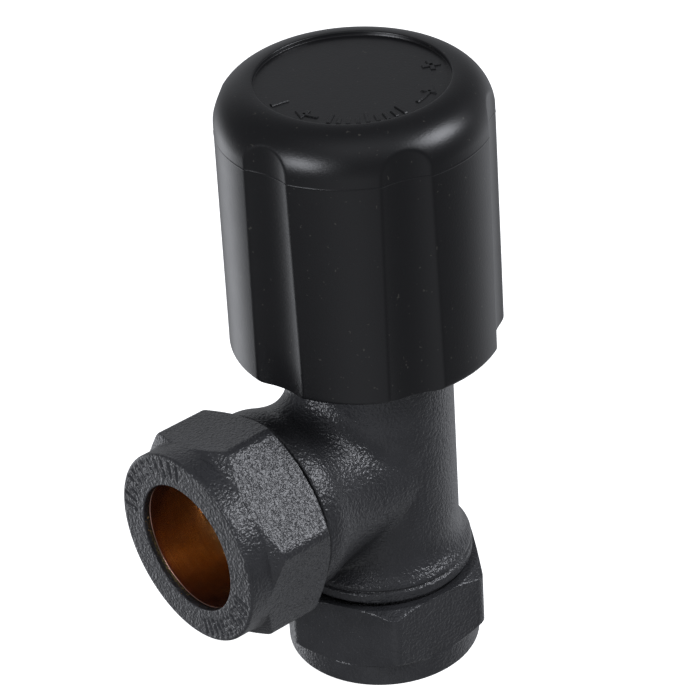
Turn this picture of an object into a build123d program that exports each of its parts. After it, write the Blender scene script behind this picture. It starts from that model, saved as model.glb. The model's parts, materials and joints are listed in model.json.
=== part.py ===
"""Angle lockshield valve with two 15 mm compression ends, in millimetres.

Z is the spindle axis, up. The origin is the centre of the lower pipe nut's outer face.
The side branch, which takes the radiator tail, points along -Y.
At rest the valve is closed: the washer sits on its seat and the nuts are finger tight.
"""

import os

from build123d import *

os.makedirs("parts", exist_ok=True)

# ---- driving dimensions -------------------------------------------------------------
TIGHT = 0.05  # play between pieces that are screwed or dropped together
FREE = 0.08  # play in a thread or a swivel that moves

PIPE_R = 7.6  # bore that a 15 mm pipe slides into
BRANCH_Z = 26.1  # height of the branch axis
TAIL_REACH = 27.75  # spindle axis to the tail nut's outer face
BARREL_R = 9.5
BARREL_TOP = 43.5
NECK_R = 9.4  # branch, where it runs into the barrel
BLEND_R = 3.0  # fillet where the branch meets the barrel

# every compression end, measured inwards from its nut's outer face
LIP = 0.8
OLIVE_START = LIP + TIGHT
OLIVE_END = 7.75
BODY_END = 5.6
NUT_END = 11.1
COLLAR_START = 11.6
COLLAR_END = 12.85
COLLAR_R = 10.9
COLLAR_GROOVE_DEPTH = 0.55  # fine groove between the pipe end's collar and its flare
FLARE_START = 13.35
FLARE_END = 17.2
SOCKET_STOP = 16.5
MOUTH_R = 8.56  # cone in the body's mouth that the olive wedges into
MOUTH_DEPTH = 8.6

NUT_HEX_AF = 22.6
NUT_CORNER_R = 12.5  # front chamfer circle that takes the points off the hexagon
NUT_BACK_R = 11.5  # back chamfer circle, just clear of the flats
NUT_ROUND_R = 11.4
NUT_ROUND_LENGTH = 3.1
OLIVE_R = 8.7
END_PITCH = 1.814
END_ROOT_R = 9.3
END_CREST_R = 10.4
END_THREAD_START = 6.45  # where the ridge's first turn begins

SEAT_Z = 20.3
SEAT_BORE_R = 5.0
SEAT_RING_R = 6.0
CHAMBER_R = 7.25
CHAMBER_FLOOR = SEAT_Z - 0.8

BONNET_R = 7.95  # fixed threads are drawn as plain cylinders at their crests
BONNET_BOTTOM = 33.5
BONNET_THREAD_END = 41.6
O_RING_GROOVE = 42.0
BONNET_HEX_AF = 17.0
BONNET_HEX_TOP = 47.5
BONNET_NECK_R = 6.6
BONNET_TOP = 59.0
BONNET_O_RING_R = 0.65  # section radius

SPINDLE_PITCH = 1.5
SPINDLE_TURNS = 3
LIFT = SPINDLE_PITCH * SPINDLE_TURNS
SPINDLE_ROOT_R = 3.75
SPINDLE_CREST_R = 4.45
SPINDLE_FOOT = 25.05
SPINDLE_THREAD_START = 31.7
SPINDLE_THREAD_END = 40.8
STEM_R = 3.45
SHANK_R = 2.95
GLAND_SEAT = 56.0  # ledge that the backing washer rests against
SPINDLE_SHOULDER = GLAND_SEAT - LIFT - TIGHT
SPINDLE_TOP = 66.0
DRIVE_START = 62.9
DRIVE_AF = 4.8
STEM_O_RING_R = 0.6
STEM_O_RING_HEIGHTS = {"lower": 47.9, "upper": 50.1}
CIRCLIP_Z = 61.75
CIRCLIP_T = 0.6
CIRCLIP_ROOT_R = 2.35

GLAND_R = 4.7
GLAND_HEX_AF = 10.0
GLAND_TOP = 61.6

STOPPER_R = 6.75
STOPPER_TOP = SPINDLE_FOOT - TIGHT
STOPPER_STEM_R = 2.2
STOPPER_STEM_TOP = 29.6
WASHER_R = 6.1
WASHER_T = 1.8
SCREW_R = 1.5
SCREW_HEAD_R = 2.7
CLIP_Z = 27.3
CLIP_T = 0.9

CAP_BOTTOM = 42.0
CAP_TOP = 74.1
CAP_FOOT_R = 15.5
CAP_SHOULDER_R = 15.25
CAP_ROUND = 4.4  # radius of the crown's rounded edge
CAP_RECESS_R = 10.8
CAP_RECESS_DEPTH = 0.5
CAP_WALL = 2.1
CAP_CEILING = 72.0
FLUTES = 6
FLUTE_ANGLE = -80.0
FLUTE_R = 8.5
FLUTE_DEPTH = 0.75
HUB_R = 9.5
HUB_WALL = 1.4
HUB_BOTTOM = 50.0
RIB_T = 1.2

SLEEVE_BOTTOM = 48.2
SLEEVE_TOP = 60.5
BEAD_Z = 56.5
BEAD_DEPTH = 0.5
SNAP_RING_Z = 52.0
SNAP_RING_T = 1.2
SNAP_RING_DEPTH = 1.4


# ---- shared helpers -----------------------------------------------------------------
def thread_ridge(root_r, crest_r, pitch, start, turns, grow=0.0):
    """Right-hand thread ridge whose first turn begins, on the +X side, at height start."""
    embed = 0.15
    foot = 0.33 * pitch + grow
    tip = 0.12 * pitch + grow
    depth = crest_r - root_r
    slope = (foot - tip) / depth
    with BuildPart() as ridge:
        with BuildLine() as path:
            Helix(pitch, turns * pitch, root_r)
        with BuildSketch(Plane(origin=(root_r, 0, 0), x_dir=(1, 0, 0), z_dir=(0, -1, 0))):
            with BuildLine():
                Polyline(
                    (-embed, -foot - slope * embed),
                    (depth + grow, slope * grow - tip),
                    (depth + grow, tip - slope * grow),
                    (-embed, foot + slope * embed),
                    close=True,
                )
            make_face()
        sweep(path=path.line, is_frenet=True)
    return ridge.part.moved(Location((0, 0, start)))


def turned(*points):
    """Solid of revolution about Z from (radius, height) points."""
    with BuildPart() as solid:
        with BuildSketch(Plane.XZ):
            with BuildLine():
                Polyline(*points, close=True)
            make_face()
        revolve(axis=Axis.Z)
    return solid.part


def o_ring(ring_r, section_r, height):
    """O-ring about Z."""
    with BuildPart() as ring:
        with BuildSketch(Plane.XZ):
            with Locations((ring_r, height)):
                Circle(section_r)
        revolve(axis=Axis.Z)
    return ring.part


def finish(part, name):
    """Names a sub-part and writes its STEP file."""
    part.label = name
    export_step(part, f"parts/{name}.step")


# Both compression ends are drawn in one local frame: its origin is the centre of the
# nut's outer face and its z runs inwards, towards the valve.
END_PLANES = {
    "pipe": Plane.XY,
    "tail": Plane(origin=(0, -TAIL_REACH, BRANCH_Z), x_dir=(1, 0, 0), z_dir=(0, 1, 0)),
}
NUT_CORNER_ANGLES = {"pipe": -34.0, "tail": -14.0}

# ---- valve body ---------------------------------------------------------------------
end_thread = thread_ridge(END_ROOT_R, END_CREST_R, END_PITCH, END_THREAD_START, 2.4)


def end_form(collar_edge, flare):
    """Spigot, collar and flare of one end, from their (radius, height) points."""
    foot_r, foot_z = flare[-1]
    with BuildPart() as form:
        with BuildSketch(Plane.XZ):
            with BuildLine():
                Polyline(
                    *collar_edge,
                    (COLLAR_R, COLLAR_START + 0.2),
                    (COLLAR_R - 0.2, COLLAR_START),
                    (END_ROOT_R, COLLAR_START),
                    (END_ROOT_R, BODY_END + 0.5),
                    (END_ROOT_R - 0.3, BODY_END),
                    (0, BODY_END),
                    (0, foot_z),
                    (foot_r, foot_z),
                )
                Spline(*flare, tangents=((0, 1), (0, 1)))
            make_face()
        revolve(axis=Axis.Z)
    return form.part


pipe_form = end_form(
    collar_edge=[
        (COLLAR_R - 0.05, FLARE_START),
        (COLLAR_R - COLLAR_GROOVE_DEPTH, (COLLAR_END + FLARE_START) / 2),
        (COLLAR_R, COLLAR_END),
    ],
    flare=[
        (COLLAR_R - 0.05, FLARE_START),
        (COLLAR_R - 0.4, FLARE_START + 0.8),
        (BARREL_R - 0.02, FLARE_END),
    ],
)
tail_form = end_form(
    collar_edge=[(COLLAR_R, COLLAR_END)],
    flare=[
        (COLLAR_R, COLLAR_END),
        (COLLAR_R - 0.55, COLLAR_END + 2.4),
        (NECK_R + 0.35, COLLAR_END + 5.2),
        (NECK_R, TAIL_REACH),
    ],
)

# waterway of one end: the olive's mouth, the pipe socket and the passage beyond
end_bore = turned(
    (0, BODY_END - 1),
    (MOUTH_R, BODY_END - 1),
    (MOUTH_R, BODY_END),
    (PIPE_R, MOUTH_DEPTH),
    (PIPE_R, SOCKET_STOP),
    (SEAT_BORE_R, SOCKET_STOP + 0.6),
    (SEAT_BORE_R, CHAMBER_FLOOR + 1.8),
    (0, CHAMBER_FLOOR + 1.8),
)

with BuildPart() as valve_body:
    with BuildSketch(Plane.XY.offset(FLARE_START)):
        Circle(BARREL_R)
    extrude(amount=BARREL_TOP - FLARE_START)
    barrel_edges = valve_body.edges()
    add(tail_form.moved(END_PLANES["tail"].location))
    new_edges = (valve_body.edges() - barrel_edges).filter_by(GeomType.CIRCLE, reverse=True)
    fillet(new_edges.sort_by(SortBy.LENGTH)[-1], BLEND_R)
    chamfer(valve_body.faces().sort_by(Axis.Z)[-1].edges(), 0.4)
    add(pipe_form)
    for end in END_PLANES.values():
        add(end_thread.moved(end.location))

    # chamber, seat ring and the bonnet's thread
    for end in END_PLANES.values():
        add(end_bore.moved(end.location), mode=Mode.SUBTRACT)
    add(
        turned(
            (0, CHAMBER_FLOOR),
            (SEAT_BORE_R, CHAMBER_FLOOR),
            (SEAT_BORE_R, SEAT_Z),
            (SEAT_RING_R, SEAT_Z),
            (SEAT_RING_R, CHAMBER_FLOOR),
            (CHAMBER_R, CHAMBER_FLOOR),
            (CHAMBER_R, BONNET_BOTTOM - 1),
            (BONNET_R + TIGHT, BONNET_BOTTOM - 0.3),
            (BONNET_R + TIGHT, O_RING_GROOVE),
            (BONNET_R + 0.35, O_RING_GROOVE),
            (BONNET_R + 0.35, BARREL_TOP + 1),
            (0, BARREL_TOP + 1),
        ),
        mode=Mode.SUBTRACT,
    )
finish(valve_body.part, "valve_body")

# ---- compression nuts and olives ----------------------------------------------------
end_cutter = thread_ridge(
    END_ROOT_R, END_CREST_R, END_PITCH, END_THREAD_START - END_PITCH, 4.2, FREE
)
nut_bore = turned(
    (0, -1),
    (PIPE_R, -1),
    (PIPE_R, LIP),
    (PIPE_R + 0.45, LIP),
    (OLIVE_R + TIGHT, LIP + 2.1),
    (OLIVE_R + TIGHT, OLIVE_END - 2.9),
    (END_ROOT_R + FREE, OLIVE_END - 2.6),
    (END_ROOT_R + FREE, NUT_END - 0.7),
    (END_CREST_R + 0.1, NUT_END + 0.3),
    (END_CREST_R + 0.1, NUT_END + 1),
    (0, NUT_END + 1),
)
nut_blank = turned(
    (0, 0),
    (NUT_ROUND_R - 0.35, 0),
    (NUT_ROUND_R, 0.35),
    (NUT_ROUND_R, NUT_ROUND_LENGTH),
    (NUT_CORNER_R, NUT_ROUND_LENGTH),
    (NUT_CORNER_R + 0.7, NUT_ROUND_LENGTH + 0.6),
    (NUT_CORNER_R + 0.7, NUT_END - 0.95),
    (NUT_BACK_R, NUT_END),
    (0, NUT_END),
)

for end_name, end in END_PLANES.items():
    with BuildPart() as nut:
        with BuildSketch(Plane.XY):
            Circle(NUT_ROUND_R)
        extrude(amount=NUT_ROUND_LENGTH)
        with BuildSketch(Plane.XY.offset(NUT_ROUND_LENGTH)):
            RegularPolygon(
                NUT_HEX_AF / 2, 6, major_radius=False, rotation=NUT_CORNER_ANGLES[end_name]
            )
        extrude(amount=NUT_END - NUT_ROUND_LENGTH)
        add(nut_blank, mode=Mode.INTERSECT)
        add(nut_bore, mode=Mode.SUBTRACT)
        add(end_cutter, mode=Mode.SUBTRACT)
    finish(nut.part.moved(end.location), f"{end_name}_nut")

    with BuildPart() as olive:
        add(
            turned(
                (PIPE_R, OLIVE_START),
                (PIPE_R + 0.4, OLIVE_START),
                (OLIVE_R, LIP + 2.15),
                (OLIVE_R, OLIVE_END - 2.9),
                (PIPE_R + 0.2, OLIVE_END),
                (PIPE_R, OLIVE_END),
            )
        )
    finish(olive.part.moved(end.location), f"{end_name}_olive")

# ---- bonnet -------------------------------------------------------------------------
STEM_BORE_R = STEM_R + FREE
STEM_BORE_START = 46.6
RELIEF_START = 41.0

with BuildPart() as bonnet:
    add(
        turned(
            (0, BONNET_BOTTOM),
            (BONNET_R - 0.6, BONNET_BOTTOM),
            (BONNET_R, BONNET_BOTTOM + 0.6),
            (BONNET_R, BONNET_THREAD_END - 0.3),
            (BONNET_R - 1, BONNET_THREAD_END + 0.3),
            (BONNET_R - 1, BARREL_TOP),
            (BARREL_R - 0.1, BARREL_TOP),
            (BARREL_R - 0.1, BARREL_TOP + 1),
            (0, BARREL_TOP + 1),
        )
    )
    with BuildSketch(Plane.XY.offset(BARREL_TOP + 1)):
        RegularPolygon(BONNET_HEX_AF / 2, 6, major_radius=False)
        Circle(BONNET_HEX_AF / 2 + 0.9, mode=Mode.INTERSECT)
    extrude(amount=BONNET_HEX_TOP - BARREL_TOP - 1)
    with BuildSketch(Plane.XY.offset(BONNET_HEX_TOP)):
        Circle(BONNET_NECK_R)
    extrude(amount=BONNET_TOP - BONNET_HEX_TOP)
    chamfer(bonnet.faces().sort_by(Axis.Z)[-1].edges(), 0.5)
    add(
        turned(
            (0, BONNET_BOTTOM - 1),
            (SPINDLE_ROOT_R + FREE, BONNET_BOTTOM - 1),
            (SPINDLE_ROOT_R + FREE, RELIEF_START),
            (SPINDLE_CREST_R + 0.2, RELIEF_START),
            (SPINDLE_CREST_R + 0.2, STEM_BORE_START - 1.1),
            (STEM_BORE_R, STEM_BORE_START),
            (STEM_BORE_R, GLAND_SEAT),
            (GLAND_R + TIGHT, GLAND_SEAT),
            (GLAND_R + TIGHT, BONNET_TOP + 1),
            (0, BONNET_TOP + 1),
        ),
        mode=Mode.SUBTRACT,
    )
    add(
        thread_ridge(
            SPINDLE_ROOT_R, SPINDLE_CREST_R, SPINDLE_PITCH, SPINDLE_THREAD_START, 7.4, FREE
        ),
        mode=Mode.SUBTRACT,
    )
finish(bonnet.part, "bonnet")

bonnet_o_ring = o_ring(
    BONNET_R - 0.325, BONNET_O_RING_R, (BONNET_THREAD_END + 0.3 + BARREL_TOP) / 2 + 0.03
)
finish(bonnet_o_ring, "bonnet_o_ring")

with BuildPart() as backing_washer:
    with BuildSketch(Plane.XY.offset(GLAND_SEAT)):
        Circle(GLAND_R - TIGHT)
        Circle(SHANK_R + FREE, mode=Mode.SUBTRACT)
    extrude(amount=0.7)
finish(backing_washer.part, "backing_washer")

with BuildPart() as gland_nut:
    with BuildSketch(Plane.XY.offset(GLAND_SEAT + 0.7)):
        Circle(GLAND_R)
    extrude(amount=BONNET_TOP - GLAND_SEAT - 0.7)
    with BuildSketch(Plane.XY.offset(BONNET_TOP)):
        RegularPolygon(GLAND_HEX_AF / 2, 6, major_radius=False, rotation=15)
    extrude(amount=GLAND_TOP - BONNET_TOP)
    with BuildSketch(Plane.XY.offset(GLAND_SEAT)):
        Circle(SHANK_R + FREE)
    extrude(amount=GLAND_TOP - GLAND_SEAT + 1, mode=Mode.SUBTRACT)
finish(gland_nut.part, "gland_nut")

# ---- spindle ------------------------------------------------------------------------
spindle_profile = [
    (0, SPINDLE_FOOT),
    (SPINDLE_ROOT_R - 0.4, SPINDLE_FOOT),
    (SPINDLE_ROOT_R, SPINDLE_FOOT + 0.4),
    (SPINDLE_ROOT_R, SPINDLE_THREAD_END),
    (STEM_R, SPINDLE_THREAD_END + 0.3),
]
for height in STEM_O_RING_HEIGHTS.values():
    groove_r = STEM_BORE_R - 2 * STEM_O_RING_R - TIGHT
    spindle_profile += [
        (STEM_R, height - 0.75),
        (groove_r, height - 0.75),
        (groove_r, height + 0.75),
        (STEM_R, height + 0.75),
    ]
spindle_profile += [
    (STEM_R, SPINDLE_SHOULDER),
    (SHANK_R, SPINDLE_SHOULDER),
    (SHANK_R, CIRCLIP_Z),
    (CIRCLIP_ROOT_R, CIRCLIP_Z),
    (CIRCLIP_ROOT_R, CIRCLIP_Z + CIRCLIP_T + TIGHT),
    (SHANK_R, CIRCLIP_Z + CIRCLIP_T + TIGHT),
    (SHANK_R, SPINDLE_TOP - 0.4),
    (SHANK_R - 0.4, SPINDLE_TOP),
    (0, SPINDLE_TOP),
]

with BuildPart() as spindle:
    add(turned(*spindle_profile))
    add(
        thread_ridge(SPINDLE_ROOT_R, SPINDLE_CREST_R, SPINDLE_PITCH, SPINDLE_THREAD_START, 5.4)
    )
    # four flats make the lockshield key's square
    with BuildSketch(Plane.XY.offset(DRIVE_START)):
        Circle(SHANK_R + 1)
        Rectangle(DRIVE_AF, DRIVE_AF, mode=Mode.SUBTRACT)
    extrude(amount=SPINDLE_TOP - DRIVE_START + 1, mode=Mode.SUBTRACT)
    # pocket and groove in the foot, for the stopper's stem and its clip
    add(
        turned(
            (0, SPINDLE_FOOT - 1),
            (STOPPER_STEM_R + FREE, SPINDLE_FOOT - 1),
            (STOPPER_STEM_R + FREE, CLIP_Z),
            (STOPPER_STEM_R + 0.75, CLIP_Z),
            (STOPPER_STEM_R + 0.75, CLIP_Z + CLIP_T + 2 * TIGHT),
            (STOPPER_STEM_R + FREE, CLIP_Z + CLIP_T + 2 * TIGHT),
            (STOPPER_STEM_R + FREE, STOPPER_STEM_TOP + 0.3),
            (0, STOPPER_STEM_TOP + 1.5),
        ),
        mode=Mode.SUBTRACT,
    )
finish(spindle.part, "spindle")

for ring_name, height in STEM_O_RING_HEIGHTS.items():
    ring = o_ring(STEM_BORE_R - STEM_O_RING_R - TIGHT / 2, STEM_O_RING_R, height)
    finish(ring, f"spindle_o_ring_{ring_name}")

with BuildPart() as spindle_circlip:
    with BuildSketch(Plane.XY.offset(CIRCLIP_Z + TIGHT / 2)):
        Circle(SHANK_R + 1.4)
        Circle(CIRCLIP_ROOT_R + 0.03, mode=Mode.SUBTRACT)
        with Locations((SHANK_R, 0)):
            Rectangle(2 * SHANK_R, 3.6, mode=Mode.SUBTRACT)
    extrude(amount=CIRCLIP_T)
    fillet(spindle_circlip.edges().filter_by(Axis.Z), 0.15)
finish(spindle_circlip.part, "spindle_circlip")

# ---- stopper, washer and screw ------------------------------------------------------
WASHER_TOP = SEAT_Z + WASHER_T

with BuildPart() as stopper:
    add(
        turned(
            (SCREW_R + 0.02, WASHER_TOP),
            (WASHER_R + TIGHT, WASHER_TOP),
            (WASHER_R + TIGHT, WASHER_TOP - 1.1),
            (STOPPER_R, WASHER_TOP - 1.1),
            (STOPPER_R, STOPPER_TOP - 0.8),
            (STOPPER_R - 0.6, STOPPER_TOP),
            (STOPPER_STEM_R, STOPPER_TOP),
            (STOPPER_STEM_R, CLIP_Z + TIGHT),
            (STOPPER_STEM_R - 0.45, CLIP_Z + TIGHT),
            (STOPPER_STEM_R - 0.45, CLIP_Z + CLIP_T + TIGHT),
            (STOPPER_STEM_R, CLIP_Z + CLIP_T + TIGHT),
            (STOPPER_STEM_R, STOPPER_STEM_TOP - 0.4),
            (STOPPER_STEM_R - 0.4, STOPPER_STEM_TOP),
            (0, STOPPER_STEM_TOP),
            (0, STOPPER_TOP + 0.8),
            (SCREW_R + 0.02, STOPPER_TOP + 0.3),
        )
    )
finish(stopper.part, "stopper")

with BuildPart() as seat_washer:
    with BuildSketch(Plane.XY.offset(SEAT_Z)):
        Circle(WASHER_R)
        Circle(SCREW_R + TIGHT, mode=Mode.SUBTRACT)
    extrude(amount=WASHER_T)
finish(seat_washer.part, "seat_washer")

with BuildPart() as washer_screw:
    with BuildSketch(Plane.XY.offset(SEAT_Z)):
        Circle(SCREW_HEAD_R)
    extrude(amount=-1.6)
    fillet(washer_screw.faces().sort_by(Axis.Z)[0].edges(), 0.6)
    with BuildSketch(Plane.XY.offset(SEAT_Z - 1.6)):
        Rectangle(2 * SCREW_HEAD_R + 1, 0.8)
    extrude(amount=0.8, mode=Mode.SUBTRACT)
    with BuildSketch(Plane.XY.offset(SEAT_Z)):
        Circle(SCREW_R)
    extrude(amount=STOPPER_TOP - SEAT_Z)
finish(washer_screw.part, "washer_screw")

with BuildPart() as swivel_clip:
    with BuildSketch(Plane.XY.offset(CLIP_Z + 1.5 * TIGHT)):
        Circle(STOPPER_STEM_R + 0.67)
        Circle(STOPPER_STEM_R - 0.4, mode=Mode.SUBTRACT)
        with Locations((STOPPER_STEM_R, 0)):
            Rectangle(STOPPER_STEM_R, 0.9, mode=Mode.SUBTRACT)
    extrude(amount=CLIP_T - TIGHT)
finish(swivel_clip.part, "swivel_clip")

# ---- cap sleeve and its spring ring -------------------------------------------------
SLEEVE_BORE_R = BONNET_NECK_R + FREE
SLEEVE_R = HUB_R - FREE

with BuildPart() as cap_sleeve:
    add(
        turned(
            (SLEEVE_BORE_R + 0.4, SLEEVE_BOTTOM),
            (SLEEVE_R - 0.4, SLEEVE_BOTTOM),
            (SLEEVE_R, SLEEVE_BOTTOM + 0.4),
            (SLEEVE_R, BEAD_Z - 0.5 - BEAD_DEPTH),
            (SLEEVE_R - BEAD_DEPTH, BEAD_Z - 0.5),
            (SLEEVE_R - BEAD_DEPTH, BEAD_Z + 0.5),
            (SLEEVE_R, BEAD_Z + 0.5 + BEAD_DEPTH),
            (SLEEVE_R, SLEEVE_TOP - 1.2),
            (SLEEVE_R - 1.0, SLEEVE_TOP),
            (SLEEVE_BORE_R, SLEEVE_TOP),
            (SLEEVE_BORE_R, SNAP_RING_Z + SNAP_RING_T),
            (SLEEVE_BORE_R + SNAP_RING_DEPTH, SNAP_RING_Z + SNAP_RING_T),
            (SLEEVE_BORE_R + SNAP_RING_DEPTH, SNAP_RING_Z),
            (SLEEVE_BORE_R, SNAP_RING_Z),
            (SLEEVE_BORE_R, SLEEVE_BOTTOM + 0.4),
        )
    )
    # slots between the sleeve's gripping fingers
    with BuildSketch(Plane.XY.offset(SLEEVE_BOTTOM - 1)):
        with PolarLocations(SLEEVE_R, 4, start_angle=45):
            Rectangle(2 * SLEEVE_R - 8, 1.0)
    extrude(amount=7, mode=Mode.SUBTRACT)
finish(cap_sleeve.part, "cap_sleeve")

with BuildPart() as cap_spring_ring:
    with BuildSketch(Plane.XY.offset(SNAP_RING_Z + TIGHT)):
        Circle(SLEEVE_BORE_R + SNAP_RING_DEPTH - TIGHT)
        Circle(BONNET_NECK_R + 0.02, mode=Mode.SUBTRACT)
        with Locations((BONNET_NECK_R, 0)):
            Rectangle(4, 2.2, mode=Mode.SUBTRACT)
    extrude(amount=SNAP_RING_T - 2 * TIGHT)
finish(cap_spring_ring.part, "cap_spring_ring")

# ---- cap ----------------------------------------------------------------------------
INNER_FOOT_R = CAP_FOOT_R - CAP_WALL
INNER_SHOULDER_R = CAP_SHOULDER_R - CAP_WALL
SHOULDER_Z = CAP_TOP - CAP_ROUND
RIM_R = CAP_SHOULDER_R - CAP_ROUND

with BuildPart() as flute:
    # finger groove that runs up the wall and follows the rounded shoulder inwards
    centre_r = CAP_SHOULDER_R + FLUTE_R - FLUTE_DEPTH
    with BuildSketch(Plane.XY.offset(CAP_BOTTOM - 1)):
        with Locations((centre_r, 0)):
            Circle(FLUTE_R)
    extrude(amount=CAP_TOP - CAP_BOTTOM + 2)

with BuildPart() as cap:
    with BuildSketch(Plane.XZ):
        with BuildLine():
            Polyline(
                (RIM_R, CAP_TOP),
                (CAP_RECESS_R - 0.2, CAP_TOP),
                (CAP_RECESS_R - 0.2, CAP_TOP - CAP_RECESS_DEPTH),
                (0, CAP_TOP - CAP_RECESS_DEPTH),
                (0, CAP_CEILING),
                (INNER_SHOULDER_R - 2.5, CAP_CEILING),
                (INNER_SHOULDER_R, CAP_CEILING - 2.5),
                (INNER_FOOT_R, CAP_BOTTOM),
                (CAP_FOOT_R - 0.4, CAP_BOTTOM),
                (CAP_FOOT_R, CAP_BOTTOM + 0.4),
                (CAP_SHOULDER_R, SHOULDER_Z),
            )
            RadiusArc((CAP_SHOULDER_R, SHOULDER_Z), (RIM_R, CAP_TOP), -CAP_ROUND)
        make_face()
    revolve(axis=Axis.Z)
    with PolarLocations(0, FLUTES, start_angle=FLUTE_ANGLE):
        add(flute.part, mode=Mode.SUBTRACT)
    # hub that turns on the sleeve, with a bead in the sleeve's groove
    add(
        turned(
            (HUB_R, HUB_BOTTOM),
            (HUB_R + HUB_WALL, HUB_BOTTOM),
            (HUB_R + HUB_WALL, CAP_CEILING + 0.2),
            (HUB_R, CAP_CEILING + 0.2),
            (HUB_R, BEAD_Z + 0.4 + BEAD_DEPTH),
            (HUB_R - BEAD_DEPTH, BEAD_Z + 0.4),
            (HUB_R - BEAD_DEPTH, BEAD_Z - 0.4),
            (HUB_R, BEAD_Z - 0.4 - BEAD_DEPTH),
        )
    )
    # ribs between the hub and the wall
    with BuildSketch(Plane.XY.offset(HUB_BOTTOM + 4)):
        with PolarLocations(HUB_R + HUB_WALL + 0.8, FLUTES, start_angle=FLUTE_ANGLE):
            Rectangle(2.2, RIB_T)
    extrude(amount=CAP_CEILING - HUB_BOTTOM - 4 + 0.2)
finish(cap.part, "cap")
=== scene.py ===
import json
from math import cos, exp, pi, radians, sin, sqrt, tan

import bmesh
import bpy
from mathutils import Matrix, Vector


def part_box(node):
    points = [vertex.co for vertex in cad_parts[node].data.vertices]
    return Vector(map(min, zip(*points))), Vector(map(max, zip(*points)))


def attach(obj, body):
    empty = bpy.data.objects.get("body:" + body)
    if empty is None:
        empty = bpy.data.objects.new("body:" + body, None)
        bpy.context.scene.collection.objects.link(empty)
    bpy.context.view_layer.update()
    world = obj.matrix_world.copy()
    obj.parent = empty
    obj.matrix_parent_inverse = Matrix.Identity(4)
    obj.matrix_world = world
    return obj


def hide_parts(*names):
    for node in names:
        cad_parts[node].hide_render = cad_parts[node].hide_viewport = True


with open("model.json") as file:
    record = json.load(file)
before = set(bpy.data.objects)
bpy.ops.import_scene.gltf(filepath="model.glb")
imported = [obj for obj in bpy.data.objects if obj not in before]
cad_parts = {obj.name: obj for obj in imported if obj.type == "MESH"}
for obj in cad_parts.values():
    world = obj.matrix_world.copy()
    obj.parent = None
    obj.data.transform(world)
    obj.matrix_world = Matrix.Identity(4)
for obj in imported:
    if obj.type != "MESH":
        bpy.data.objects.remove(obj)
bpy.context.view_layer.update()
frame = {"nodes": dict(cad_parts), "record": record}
NODES = frame["nodes"]
RECORD = frame["record"]
MM = 0.001

# ---- places and sizes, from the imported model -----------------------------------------
MOUNTS = {m["name"]: m for m in RECORD["mounts"]}
JOINTS = {j["name"]: j for j in RECORD["behaviour"]["joints"]}
TAIL_FACE = Vector(MOUNTS["tail_socket"]["pos_m"])
BRANCH_Z = TAIL_FACE.z
PIPE_R = MOUNTS["pipe_socket"]["dims"]["r_mm"]
CAP_LOW, CAP_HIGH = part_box("cap")
CAP_TOP = CAP_HIGH.z / MM
CAP_BOTTOM = CAP_LOW.z / MM
NUT_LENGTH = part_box("pipe_nut")[1].z / MM
NUT_AF = 22.6
NOSE_R = 11.4
NUT_BACK_R = 11.5
NUT_CORNER_R = 13.2
NUT_BACK_CHAMFER = 0.95
THREAD_PITCH = 1.814
THREAD_ROOT_R = 9.3
THREAD_CREST_R = 10.4
THREAD_START = 6.45
THREAD_PLAY = 0.1
THREAD_STEP = 0.12
THREAD_ROWS = 43
MOUTH_CHAMFER = 0.75
SEGMENTS = 600


# ---- mesh helpers, in millimetres ----------------------------------------------------
def soft_min(a, b, width):
    """The smaller of two lengths, with the crease between them rounded over width."""
    h = max(width - abs(a - b), 0.0) / width
    return min(a, b) - h * h * width / 4


def rounded(points, steps=5, longest=0.7):
    """Profile through (radius, height, fillet) points, corners rounded, long runs divided."""
    out = []
    count = len(points)
    for i, (x, y, fillet) in enumerate(points):
        here = Vector((x, y))
        if fillet <= 0:
            out.append(here)
            continue
        before = (Vector(points[i - 1][:2]) - here).normalized()
        after = (Vector(points[(i + 1) % count][:2]) - here).normalized()
        half = before.angle(after) / 2
        reach = fillet / tan(half)
        middle = here + (before + after).normalized() * (fillet / sin(half))
        start = here + before * reach - middle
        sweep = start.angle_signed(here + after * reach - middle)
        for k in range(steps + 1):
            out.append(middle + Matrix.Rotation(-sweep * k / steps, 2) @ start)
    divided = []
    for i, here in enumerate(out):
        after = out[(i + 1) % len(out)]
        runs = max(1, int((after - here).length / longest + 0.999))
        divided += [here.lerp(after, k / runs) for k in range(runs)]
    return [(p.x, p.y) for p in divided]


def ring_mesh(bm, profile, segments, shape=None, close=True):
    """Grid swept round Z from a profile. shape(r, z, angle, index) may change r and z."""
    rings = []
    for index, (r, z) in enumerate(profile):
        if r < 1e-6:
            rings.append([bm.verts.new((0, 0, z))])
            continue
        ring = []
        for k in range(segments):
            angle = 2 * pi * k / segments
            rr, zz = shape(r, z, angle, index) if shape else (r, z)
            ring.append(bm.verts.new((rr * cos(angle), rr * sin(angle), zz)))
        rings.append(ring)
    pairs = list(zip(rings, rings[1:]))
    if close:
        pairs.append((rings[-1], rings[0]))
    for low, high in pairs:
        for k in range(segments):
            n = (k + 1) % segments
            corners = [low[k % len(low)], low[n % len(low)]]
            corners += [high[n % len(high)], high[k % len(high)]]
            unique = list(dict.fromkeys(corners))
            if len(unique) > 2:
                bm.faces.new(unique)


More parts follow.
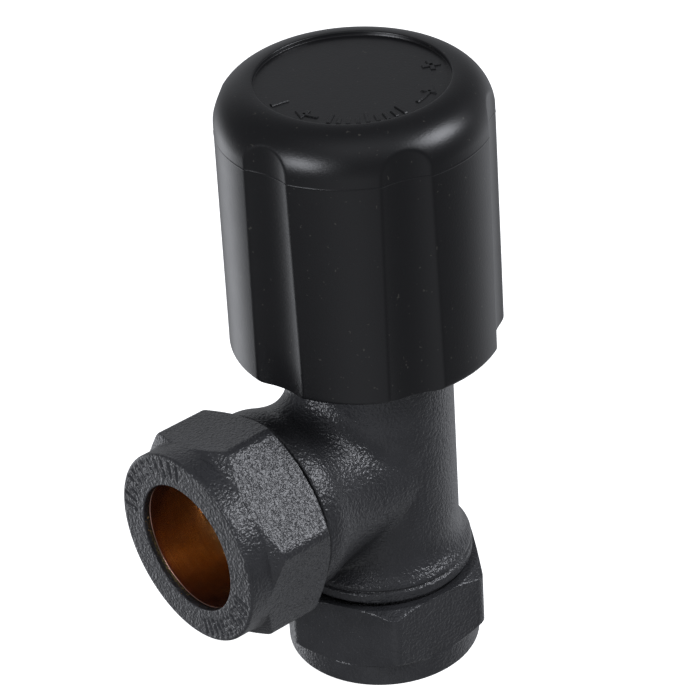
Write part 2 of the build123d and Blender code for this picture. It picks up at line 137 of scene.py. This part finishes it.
def add_prism(bm, outline, low, high, bevel=0.0):
    """Extruded outline (list of (x, y)) between two heights, with its top edge eased."""
    inset = []
    count = len(outline)
    for i, (x, y) in enumerate(outline):
        here = Vector((x, y))
        before = (here - Vector(outline[i - 1])).normalized()
        after = (Vector(outline[(i + 1) % count]) - here).normalized()
        normal = Vector((-(before + after).y, (before + after).x)).normalized()
        scale = max(0.4, normal.dot(Vector((-after.y, after.x))))
        inset.append(here + normal * bevel / scale)
    rows = [
        [bm.verts.new((x, y, low)) for x, y in outline],
        [bm.verts.new((x, y, high - bevel)) for x, y in outline],
        [bm.verts.new((p.x, p.y, high)) for p in inset],
    ]
    for lower, upper in zip(rows, rows[1:]):
        for i in range(count):
            n = (i + 1) % count
            bm.faces.new((lower[i], lower[n], upper[n], upper[i]))
    bm.faces.new(rows[-1])


def piece(name, bm, material, body, transform=None, smooth=True):
    """Object in metres from a millimetre bmesh, riding on a body."""
    bmesh.ops.scale(bm, vec=(MM, MM, MM), verts=bm.verts)
    if transform is not None:
        bmesh.ops.transform(bm, matrix=transform, verts=bm.verts)
    bmesh.ops.recalc_face_normals(bm, faces=bm.faces)
    mesh = bpy.data.meshes.new(name)
    bm.to_mesh(mesh)
    bm.free()
    for polygon in mesh.polygons:
        polygon.use_smooth = smooth
    mesh.materials.append(material)
    obj = bpy.data.objects.new(name, mesh)
    bpy.context.scene.collection.objects.link(obj)
    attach(obj, body)
    return obj


# ---- materials -----------------------------------------------------------------------
def new_material(name, color, roughness, metallic=0.0):
    """Principled material and its node tree, with object-space coordinates in millimetres."""
    mat = bpy.data.materials.new(name)
    mat.use_nodes = True
    tree = mat.node_tree
    shader = tree.nodes["Principled BSDF"]
    shader.inputs["Base Color"].default_value = (*color, 1)
    shader.inputs["Roughness"].default_value = roughness
    shader.inputs["Metallic"].default_value = metallic
    coords = tree.nodes.new("ShaderNodeTexCoord")
    scale = tree.nodes.new("ShaderNodeMapping")
    scale.inputs["Scale"].default_value = (1000, 1000, 1000)
    tree.links.new(coords.outputs["Object"], scale.inputs["Vector"])
    return mat, tree, shader, scale.outputs["Vector"]


def noise(tree, vector, scale, detail=2.0, roughness=0.5):
    node = tree.nodes.new("ShaderNodeTexNoise")
    node.inputs["Scale"].default_value = scale
    node.inputs["Detail"].default_value = detail
    node.inputs["Roughness"].default_value = roughness
    tree.links.new(vector, node.inputs["Vector"])
    return node.outputs["Fac"]


def ramp(tree, value, stops):
    """Colour ramp through (position, (r, g, b)) stops."""
    node = tree.nodes.new("ShaderNodeValToRGB")
    elements = node.color_ramp.elements
    while len(elements) < len(stops):
        elements.new(0.5)
    for element, (position, color) in zip(elements, stops):
        element.position = position
        element.color = (*color, 1)
    tree.links.new(value, node.inputs["Fac"])
    return node.outputs["Color"]


def map_range(tree, value, low, high):
    node = tree.nodes.new("ShaderNodeMapRange")
    node.inputs["To Min"].default_value = low
    node.inputs["To Max"].default_value = high
    tree.links.new(value, node.inputs["Value"])
    return node.outputs["Result"]


def math_node(tree, operation, first, second):
    """Result of one sum; each input is a socket or a number."""
    node = tree.nodes.new("ShaderNodeMath")
    node.operation = operation
    for socket, value in zip(node.inputs, (first, second)):
        if isinstance(value, (int, float)):
            socket.default_value = value
        else:
            tree.links.new(value, socket)
    return node.outputs["Value"]


def bump(tree, height, distance, strength, shader, under=None):
    """Bump of that depth in metres, laid over another bump if one is given."""
    node = tree.nodes.new("ShaderNodeBump")
    node.inputs["Distance"].default_value = distance
    node.inputs["Strength"].default_value = strength
    tree.links.new(height, node.inputs["Height"])
    if under is not None:
        tree.links.new(under, node.inputs["Normal"])
    tree.links.new(node.outputs["Normal"], shader.inputs["Normal"])
    return node.outputs["Normal"]


def powder_coat():
    """Black fine-texture powder coat: close, irregular, slightly glossy grains."""
    mat, tree, shader, mm = new_material("powder_coat", (0.04, 0.04, 0.042), 0.36)
    shader.inputs["Specular IOR Level"].default_value = 0.5
    tone = noise(tree, mm, 0.35, 3)
    tree.links.new(
        ramp(tree, tone, [(0.3, (0.032, 0.0325, 0.0355)), (0.7, (0.042, 0.0425, 0.046))]),
        shader.inputs["Base Color"],
    )
    gloss = map_range(tree, noise(tree, mm, 2.2, 2), 0.24, 0.33)
    tree.links.new(gloss, shader.inputs["Roughness"])
    coarse = bump(tree, noise(tree, mm, 1.6, 3, 0.6), 0.0001, 0.5, shader)
    bump(tree, noise(tree, mm, 2.8, 1.0, 0.6), 0.00013, 1.0, shader, coarse)
    return mat


def cap_plastic():
    """Satin black moulded plastic with a very fine spark-eroded grain and a little dust."""
    mat, tree, shader, mm = new_material("cap_plastic", (0.009, 0.009, 0.01), 0.36)
    shader.inputs["Specular IOR Level"].default_value = 0.5
    specks = noise(tree, mm, 2.0, 1)
    tree.links.new(
        ramp(
            tree,
            specks,
            [
                (0.0, (0.0075, 0.0075, 0.0085)),
                (0.73, (0.008, 0.008, 0.009)),
                (0.78, (0.045, 0.043, 0.038)),
            ],
        ),
        shader.inputs["Base Color"],
    )
    gloss = map_range(tree, noise(tree, mm, 0.5, 3), 0.29, 0.35)
    tree.links.new(gloss, shader.inputs["Roughness"])
    bump(tree, noise(tree, mm, 4.0, 2, 0.6), 0.00002, 0.6, shader)
    return mat


def turned_metal(name, color, roughness, axis=2):
    """Turned metal: fine rings round the axis with slight tone changes."""
    mat, tree, shader, mm = new_material(name, color, roughness, metallic=1.0)
    stretch = tree.nodes.new("ShaderNodeMapping")
    factors = [0.08, 0.08, 0.08]
    factors[axis] = 6.0
    stretch.inputs["Scale"].default_value = factors
    tree.links.new(mm, stretch.inputs["Vector"])
    rings = noise(tree, stretch.outputs["Vector"], 1.6, 3)
    dark = tuple(c * 0.8 for c in color)
    light = tuple(min(1.0, c * 1.1) for c in color)
    tree.links.new(ramp(tree, rings, [(0.25, dark), (0.75, light)]), shader.inputs["Base Color"])
    tree.links.new(
        map_range(tree, noise(tree, mm, 0.8, 2), roughness * 0.8, roughness * 1.3),
        shader.inputs["Roughness"],
    )
    bump(tree, rings, 0.00001, 0.5, shader)
    return mat


def soft_polymer(name, color, roughness):
    """Plain rubber or plastic with a faint mottled bump."""
    mat, tree, shader, mm = new_material(name, color, roughness)
    tone = noise(tree, mm, 0.9, 3)
    dark = tuple(c * 0.85 for c in color)
    tree.links.new(ramp(tree, tone, [(0.3, dark), (0.7, color)]), shader.inputs["Base Color"])
    gloss = map_range(tree, tone, roughness * 0.9, roughness * 1.1)
    tree.links.new(gloss, shader.inputs["Roughness"])
    bump(tree, noise(tree, mm, 5.0, 2), 0.00001, 0.4, shader)
    return mat


COAT = powder_coat()
CAP = cap_plastic()
BRASS_COLOR = (0.83, 0.62, 0.27)
COPPER_COLOR = (0.64, 0.37, 0.29)
BRASS = turned_metal("brass_z", BRASS_COLOR, 0.24)
BRASS_Y = turned_metal("brass_y", BRASS_COLOR, 0.24, axis=1)
COPPER_Y = turned_metal("copper_y", COPPER_COLOR, 0.22, axis=1)
COPPER = turned_metal("copper_z", COPPER_COLOR, 0.22)
STEEL = turned_metal("steel", (0.62, 0.62, 0.64), 0.28)
RUBBER = soft_polymer("rubber", (0.018, 0.018, 0.018), 0.6)
NYLON = soft_polymer("nylon", (0.72, 0.71, 0.66), 0.45)
PTFE = soft_polymer("ptfe", (0.88, 0.88, 0.87), 0.5)

NODE_MATERIALS = {
    "valve_body": COAT,
    "pipe_nut": COAT,
    "tail_nut": COAT,
    "pipe_olive": COPPER,
    "tail_olive": COPPER_Y,
    "bonnet": BRASS,
    "gland_nut": BRASS,
    "stopper": BRASS,
    "spindle": BRASS,
    "backing_washer": PTFE,
    "bonnet_o_ring": RUBBER,
    "spindle_o_ring_lower": RUBBER,
    "spindle_o_ring_upper": RUBBER,
    "seat_washer": RUBBER,
    "washer_screw": STEEL,
    "swivel_clip": STEEL,
    "spindle_circlip": STEEL,
    "cap_spring_ring": STEEL,
    "cap_sleeve": NYLON,
    "cap": CAP,
}
for node_name, material in NODE_MATERIALS.items():
    node = NODES[node_name]
    node.data.materials.clear()
    node.data.materials.append(material)

# ---- cap -----------------------------------------------------------------------------
CAP_ROUND = 4.4
SHOULDER_R = 15.25
FOOT_R = 15.5
RIM_R = SHOULDER_R - CAP_ROUND
RECESS_R = 10.75
RECESS_DEPTH = 0.5
CEILING = 72.0
SHOULDER_Z = CAP_TOP - CAP_ROUND
WITNESS_Z = 68.7
WITNESS_HEIGHT = 0.035
WITNESS_WIDTH = 0.07
FLUTE_BLEND = 0.12
RIB_FOOT = 54.0
RIB_HALF = 0.6
RIB_INNER_R = 10.7
RIB_OUTER_R = 13.2
FLUTES = 6
FLUTE_START = radians(-80)
FLUTE_R = 8.5
FLUTE_DEPTH = 0.75
FLUTE_CENTRE = SHOULDER_R + FLUTE_R - FLUTE_DEPTH


def flute_reach(angle):
    """Radius at which a ray from the axis meets the nearest flute's cylinder."""
    pitch = 2 * pi / FLUTES
    off = (angle - FLUTE_START + pitch / 2) % pitch - pitch / 2
    inside = FLUTE_R**2 - (FLUTE_CENTRE * sin(off)) ** 2
    if inside <= 0:
        return 99.0
    return FLUTE_CENTRE * cos(off) - sqrt(inside)


def cap_outline():
    """Closed half profile of the cap and how many of its points are on the outside wall."""
    outside = [(FOOT_R - 0.9, CAP_BOTTOM), (FOOT_R - 0.5, CAP_BOTTOM)]
    outside += [
        (FOOT_R - 0.5 + 0.5 * sin(a), CAP_BOTTOM + 0.5 - 0.5 * cos(a))
        for a in [radians(15 * k) for k in range(1, 7)]
    ]
    z = CAP_BOTTOM + 1.0
    while z < SHOULDER_Z - 0.05:
        fraction = (z - CAP_BOTTOM) / (SHOULDER_Z - CAP_BOTTOM)
        near = abs(z - WITNESS_Z)
        ridge = WITNESS_HEIGHT * exp(-((near / WITNESS_WIDTH) ** 2))
        outside.append((FOOT_R + (SHOULDER_R - FOOT_R) * fraction + ridge, z))
        z += 0.045 if near < 0.35 else 0.25 if z > 66 else 0.8
    steps = 44
    outside += [
        (RIM_R + CAP_ROUND * cos(a), SHOULDER_Z + CAP_ROUND * sin(a))
        for a in [radians(90 * k / steps) for k in range(steps + 1)]
    ]
    lip = 0.14
    floor = CAP_TOP - RECESS_DEPTH
    outside += [
        (RECESS_R + lip - lip * sin(a) - 0.04, CAP_TOP - lip + lip * cos(a))
        for a in [radians(18 * k) for k in range(1, 6)]
    ]
    outside += [
        (RECESS_R - 0.04 - 0.1 + 0.1 * cos(a), floor + 0.1 - 0.1 * sin(a))
        for a in [radians(22.5 * k) for k in range(1, 5)]
    ]
    outside += [(r, floor) for r in (10.3, 9.5, 8, 6, 4, 2, 0)]
    inside = [(0, CEILING), (4, CEILING), (10.65, CEILING), (SHOULDER_R - 3.4, CEILING)]
    inside += [
        (SHOULDER_R - 3.6 + 1.5 * cos(a), CEILING - 1.5 + 1.5 * sin(a))
        for a in [radians(75 - 15 * k) for k in range(0, 6)]
    ]
    inside += [(FOOT_R - 2.1, CAP_BOTTOM + 0.5), (FOOT_R - 1.9, CAP_BOTTOM)]
    return outside + inside, len(outside)


def make_cap():
    profile, outer_count = cap_outline()

    def shape(r, z, angle, index):
        if index >= outer_count or r < 11.5:
            return r, z
        reach = flute_reach(angle)
        bulge = WITNESS_HEIGHT * exp(-(((z - WITNESS_Z) / WITNESS_WIDTH) ** 2))
        return min(r, soft_min(r, reach + bulge, FLUTE_BLEND)), z

    bm = bmesh.new()
    ring_mesh(bm, profile, SEGMENTS, shape)
    hub = rounded(
        [
            (9.5, 50.0, 0.25), (10.9, 50.0, 0.25), (10.9, 72.1, 0), (9.5, 72.1, 0),
            (9.5, 57.4, 0), (9.0, 56.9, 0), (9.0, 56.1, 0), (9.5, 55.6, 0),
        ],
        longest=6,
    )
    ring_mesh(bm, hub, 128)
    for k in range(FLUTES):
        turn = Matrix.Rotation(FLUTE_START + k * pi / 3, 2)
        section = (
            (RIB_INNER_R, -RIB_HALF), (RIB_OUTER_R, -RIB_HALF),
            (RIB_OUTER_R, RIB_HALF), (RIB_INNER_R, RIB_HALF),
        )
        add_prism(bm, [tuple(turn @ Vector(corner)) for corner in section], CEILING, RIB_FOOT)
    return piece("lockshield_cap", bm, CAP, "cap")


cap = make_cap()
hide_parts("cap")

# ---- marks on the cap ----------------------------------------------------------------
MARK_R = 8.9
MARK_HALF = 0.28


def polar(r, angle):
    return (r * cos(angle), r * sin(angle))


def arc_bar(r, start, end, half, steps=8):
    """Outline of a bar bent round the axis."""
    angles = [start + (end - start) * k / steps for k in range(steps + 1)]
    return [polar(r + half, a) for a in angles] + [polar(r - half, a) for a in reversed(angles)]


def counter_clockwise(outline):
    area = sum(a[0] * b[1] - b[0] * a[1] for a, b in zip(outline, outline[1:] + outline[:1]))
    return outline if area > 0 else outline[::-1]


def make_marks():
    floor = CAP_TOP - RECESS_DEPTH
    low, high = floor - 0.1, floor + 0.15
    outlines = []
    minus = radians(-101)
    outlines.append([polar(MARK_R + s * 1.05, minus + t * MARK_HALF / MARK_R) for s, t in
                     ((-1, -1), (1, -1), (1, 1), (-1, 1))])
    plus = radians(66)
    outlines.append([polar(MARK_R + s * 1.05, plus + t * MARK_HALF / MARK_R) for s, t in
                     ((-1, -1), (1, -1), (1, 1), (-1, 1))])
    outlines.append(arc_bar(MARK_R, plus - 1.05 / MARK_R, plus + 1.05 / MARK_R, MARK_HALF))
    for tip, tail in ((radians(-84), radians(-65)), (radians(34), radians(9))):
        way = 1 if tip > tail else -1
        head = tip - way * 1.5 / MARK_R
        outlines.append(arc_bar(MARK_R, tail, head + way * 0.05, 0.22))
        outlines.append([polar(MARK_R, tip), polar(MARK_R + 0.95, head), polar(MARK_R - 0.95, head)])
    for k in range(9):
        angle = radians(-56 + 50 * k / 8)
        inner = MARK_R - (1.0 if k % 4 == 0 else 0.35)
        outlines.append([polar(r, angle + t * 0.21 / MARK_R) for r, t in
                         ((inner, -1), (MARK_R + 1.0, -1), (MARK_R + 1.0, 1), (inner, 1))])
    bm = bmesh.new()
    for outline in outlines:
        add_prism(bm, counter_clockwise(outline), low, high, bevel=0.09)
    return piece("cap_marks", bm, CAP, "cap", smooth=False)


marks = make_marks()

# ---- nuts ----------------------------------------------------------------------------
LIP = 0.8
LEDGE_Z = 2.9
CORNER_BLEND = 0.9
FACE_MARK_ARCS = ((radians(-174), radians(-92)), (radians(14), radians(76)))
FACE_MARKS = 12
FACE_MARK_DEPTH = 0.14


def hexagon_reach(angle, corner):
    """Radius of a hexagon whose corners are broadly rounded over."""
    off = (angle - corner) % (pi / 3) - pi / 6
    own = NUT_AF / 2 / cos(off)
    beside = NUT_AF / 2 / cos(pi / 3 - abs(off))
    return soft_min(own, beside, CORNER_BLEND)


def face_mark(r, angle):
    """Depth of the plain engraved ticks on a nut's outer face."""
    for start, end in FACE_MARK_ARCS:
        pitch = (end - start) / (FACE_MARKS - 1)
        place = (angle - start + pi) % (2 * pi) - pi
        tick = round(place / pitch)
        if 0 <= tick < FACE_MARKS:
            inner = 9.0 if tick % 3 else 8.6
            across = abs(place - tick * pitch) * r
            if inner < r < 10.75 and across < 0.2:
                return FACE_MARK_DEPTH
    return 0.0


def make_nut(name, corner, transform, body):
    bore_r = THREAD_ROOT_R + THREAD_PLAY
    outer = rounded(
        [
            (PIPE_R, 0.0, 0.12), (NOSE_R, 0.0, 0.3), (NOSE_R, LEDGE_Z, 0.5),
            (NUT_CORNER_R, 4.25, 0.6), (NUT_CORNER_R, NUT_LENGTH - NUT_BACK_CHAMFER, 0.3),
            (NUT_BACK_R, NUT_LENGTH, 0.12), (THREAD_CREST_R + THREAD_PLAY, NUT_LENGTH, 0.1),
            (bore_r, NUT_LENGTH - MOUTH_CHAMFER, 0),
        ],
        longest=0.22,
    )
    cut = max(i for i, p in enumerate(outer) if p[0] >= bore_r - 0.01) + 1
    outer = outer[:cut]
    threads = [
        (bore_r, NUT_LENGTH - MOUTH_CHAMFER - THREAD_STEP * k) for k in range(1, THREAD_ROWS + 1)
    ]
    inner = [(8.75, 4.85), (8.75, 2.9), (8.05, 0.82), (PIPE_R, LIP), (PIPE_R, 0.4)]
    profile = outer + threads + inner
    # the groove runs out through the mouth's cone, so the rows of the cone are cut too
    first = next(
        i for i, (r, z) in enumerate(outer)
        if r < THREAD_CREST_R + THREAD_PLAY - 0.001 and z > NUT_LENGTH - MOUTH_CHAMFER - 0.01
    )
    last = len(outer) + len(threads)

    def shape(r, z, angle, index):
        if index < first and z < 0.05:
            return r, z + face_mark(r, angle)
        if index < first and r > THREAD_CREST_R + 0.3:
            flats = hexagon_reach(angle, corner) + max(0.0, LEDGE_Z - z)
            return soft_min(r, flats, 0.12), z
        if first <= index < last:
            phase = ((z - THREAD_START) / THREAD_PITCH - angle / (2 * pi)) % 1.0
            depth = max(0.0, min(1.0, (abs(phase - 0.5) - 0.12) / 0.22))
            return max(r, bore_r + depth * (THREAD_CREST_R - THREAD_ROOT_R)), z
        return r, z

    bm = bmesh.new()
    ring_mesh(bm, profile, SEGMENTS, shape)
    return piece(name, bm, COAT, body, transform)


# ---- olives --------------------------------------------------------------------------
def make_olive(name, material, transform, body):
    """Compression ring with eased ends, its front edge just inside the nut's lip."""
    profile = rounded(
        [
            (PIPE_R, 0.85, 0.14), (8.0, 0.85, 0.14), (8.7, 2.95, 0.4), (8.7, 4.85, 0.4),
            (7.8, 7.75, 0.08), (PIPE_R, 7.75, 0.08),
        ],
        longest=0.8,
    )
    bm = bmesh.new()
    ring_mesh(bm, profile, 160)
    return piece(name, bm, material, body, transform)


PIPE_FRAME = Matrix.Identity(4)
# local x stays x, local z runs along +Y, so local y runs down
TAIL_FRAME = Matrix.Translation(TAIL_FACE) @ Matrix.Rotation(-pi / 2, 4, "X")

pipe_nut = make_nut("pipe_nut_form", radians(-34), PIPE_FRAME, "pipe_nut")
tail_nut = make_nut("tail_nut_form", radians(-14), TAIL_FRAME, "tail_nut")
for nut, node_name in ((pipe_nut, "pipe_nut"), (tail_nut, "tail_nut")):
    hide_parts(node_name)

pipe_olive = make_olive("pipe_olive_ring", COPPER, PIPE_FRAME, "pipe_olive")
tail_olive = make_olive("tail_olive_ring", COPPER_Y, TAIL_FRAME, "tail_olive")
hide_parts("pipe_olive")
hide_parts("tail_olive")

# ---- body ----------------------------------------------------------------------------
BRASS_BORE_R = 8.62
BRANCH_BORE_START = -7.4
BODY_VOXEL = 0.16


def make_body():
    """The cast body: the CAD shape with its edges eased, brass where it is bored."""
    source = NODES["valve_body"].data
    mesh = source.copy()
    obj = bpy.data.objects.new("body_casting", mesh)
    bpy.context.scene.collection.objects.link(obj)
    remesh = obj.modifiers.new("remesh", "REMESH")
    remesh.mode = "VOXEL"
    remesh.voxel_size = BODY_VOXEL * MM
    remesh.use_smooth_shade = True
    smooth = obj.modifiers.new("smooth", "SMOOTH")
    smooth.factor = 0.5
    smooth.iterations = 2
    depsgraph = bpy.context.evaluated_depsgraph_get()
    shaped = bpy.data.meshes.new_from_object(obj.evaluated_get(depsgraph))
    obj.modifiers.clear()
    obj.data = shaped
    bpy.data.meshes.remove(mesh)
    shaped.materials.clear()
    shaped.materials.append(COAT)
    shaped.materials.append(BRASS)
    shaped.materials.append(BRASS_Y)
    for polygon in shaped.polygons:
        polygon.use_smooth = True
        c = polygon.center / MM
        from_spindle = sqrt(c.x**2 + c.y**2)
        from_branch = sqrt(c.x**2 + (c.z - BRANCH_Z / MM) ** 2)
        if from_branch < BRASS_BORE_R and c.y < BRANCH_BORE_START:
            polygon.material_index = 2
        elif from_spindle < BRASS_BORE_R:
            polygon.material_index = 1
    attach(obj, "root")
    return obj


body = make_body()
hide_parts("valve_body")

# ---- floor, lights, camera -----------------------------------------------------------
def area_light(name, place, target, width, power, color, height):
    data = bpy.data.lights.new(name, "AREA")
    data.energy = power
    data.color = color
    data.shape = "RECTANGLE"
    data.size = width
    data.size_y = height
    obj = bpy.data.objects.new(name, data)
    obj.location = place
    obj.rotation_euler = (Vector(target) - Vector(place)).to_track_quat("-Z", "Y").to_euler()
    bpy.context.scene.collection.objects.link(obj)


floor_mesh = bpy.data.meshes.new("floor")
floor_bm = bmesh.new()
bmesh.ops.create_grid(floor_bm, x_segments=1, y_segments=1, size=6)
floor_bm.to_mesh(floor_mesh)
floor_bm.free()
floor = bpy.data.objects.new("floor", floor_mesh)
# below the lowest point that the pipe nut reaches when it is unscrewed
FLOOR_GAP = 0.0004
floor.location.z = -JOINTS["pipe_olive_travel"]["range_m"][1] - FLOOR_GAP
bpy.context.scene.collection.objects.link(floor)
floor_material, _, floor_shader, _ = new_material("floor", (0.9, 0.9, 0.9), 0.9)
floor_shader.inputs["Specular IOR Level"].default_value = 0.0
floor_shader.inputs["Emission Color"].default_value = (1, 1, 1, 1)
floor_shader.inputs["Emission Strength"].default_value = 0.9
floor_mesh.materials.append(floor_material)
floor.visible_glossy = False
floor.visible_diffuse = False

world = bpy.data.worlds.new("studio")
bpy.context.scene.world = world
world.use_nodes = True
background = world.node_tree.nodes["Background"]
background.inputs["Color"].default_value = (0.93, 0.95, 1, 1)
WORLD_BASE = 0.15
# each soft glow of the studio: its azimuth and elevation in degrees, strength, narrowness
WORLD_GLOWS = (
    ((190, -26), 2.1, 24),
    ((92, -20), 0.72, 9),
    ((-45, -34), 0.38, 10),
    ((-39, 62), 0.5, 10),
    ((152, 8), 0.34, 10),
    ((70, -66), 0.34, 10),
)


def studio_world(tree, surround):
    """An even surround with soft, broad glows from the sides of the light tent."""
    coords = tree.nodes.new("ShaderNodeTexCoord").outputs["Generated"]
    level = None
    for (azimuth, elevation), strength, narrowness in WORLD_GLOWS:
        a, e = radians(azimuth), radians(elevation)
        facing = tree.nodes.new("ShaderNodeVectorMath")
        facing.operation = "DOT_PRODUCT"
        facing.inputs[1].default_value = (cos(a) * cos(e), sin(a) * cos(e), sin(e))
        tree.links.new(coords, facing.inputs[0])
        ahead = math_node(tree, "MAXIMUM", facing.outputs["Value"], 0.0)
        glow = math_node(tree, "POWER", ahead, narrowness)
        glow = math_node(tree, "MULTIPLY", glow, strength)
        level = math_node(tree, "ADD", glow, WORLD_BASE if level is None else level)
    tree.links.new(level, surround.inputs["Strength"])


studio_world(world.node_tree, background)

HEART = Vector((0, -0.004, 0.04))


def around(azimuth, elevation, distance):
    """Point seen from the object's middle in that direction, in degrees."""
    a, e = radians(azimuth), radians(elevation)
    return HEART + distance * Vector((cos(a) * cos(e), sin(a) * cos(e), sin(e)))


BOX_WIDTH = 0.28
BOX_HEIGHT = 0.24
BOX_DISTANCE = 0.6
BOX_TINT = (0.92, 0.94, 1)
SOFTBOXES = (("softbox_left", -84, 15, 1.7), ("softbox_right", 40, 36, 2.1))
for box_name, azimuth, elevation, power in SOFTBOXES:
    place = around(azimuth, elevation, BOX_DISTANCE)
    area_light(box_name, place, HEART, BOX_WIDTH, power, BOX_TINT, BOX_HEIGHT)

VIEW_AZ = radians(50.811)
VIEW_EL = radians(32.433)
VIEW_ROLL = radians(-3.641)
VIEW_DISTANCE = 0.33616
VIEW_SHIFT = (-0.00176, -0.00475)
FOCAL_RATIO = 30 / 7  # focal length in widths of the frame
SENSOR_WIDTH = 36

back = Vector((sin(VIEW_AZ) * cos(VIEW_EL), -cos(VIEW_AZ) * cos(VIEW_EL), sin(VIEW_EL)))
right = (-back).cross(Vector((0, 0, 1))).normalized()
up = right.cross(-back)
right, up = (
    cos(VIEW_ROLL) * right + sin(VIEW_ROLL) * up,
    cos(VIEW_ROLL) * up - sin(VIEW_ROLL) * right,
)
target = Vector((0, 0, 0.045)) + VIEW_SHIFT[0] * right + VIEW_SHIFT[1] * up
camera_data = bpy.data.cameras.new("camera")
camera_data.sensor_width = SENSOR_WIDTH
camera_data.lens = SENSOR_WIDTH * FOCAL_RATIO
camera_data.clip_start = 0.01
camera = bpy.data.objects.new("camera", camera_data)
pose = Matrix((right, up, back)).transposed().to_4x4()
camera.matrix_world = Matrix.Translation(target + VIEW_DISTANCE * back) @ pose
bpy.context.scene.collection.objects.link(camera)
bpy.context.scene.camera = camera
bpy.context.scene.view_settings.view_transform = "Standard"
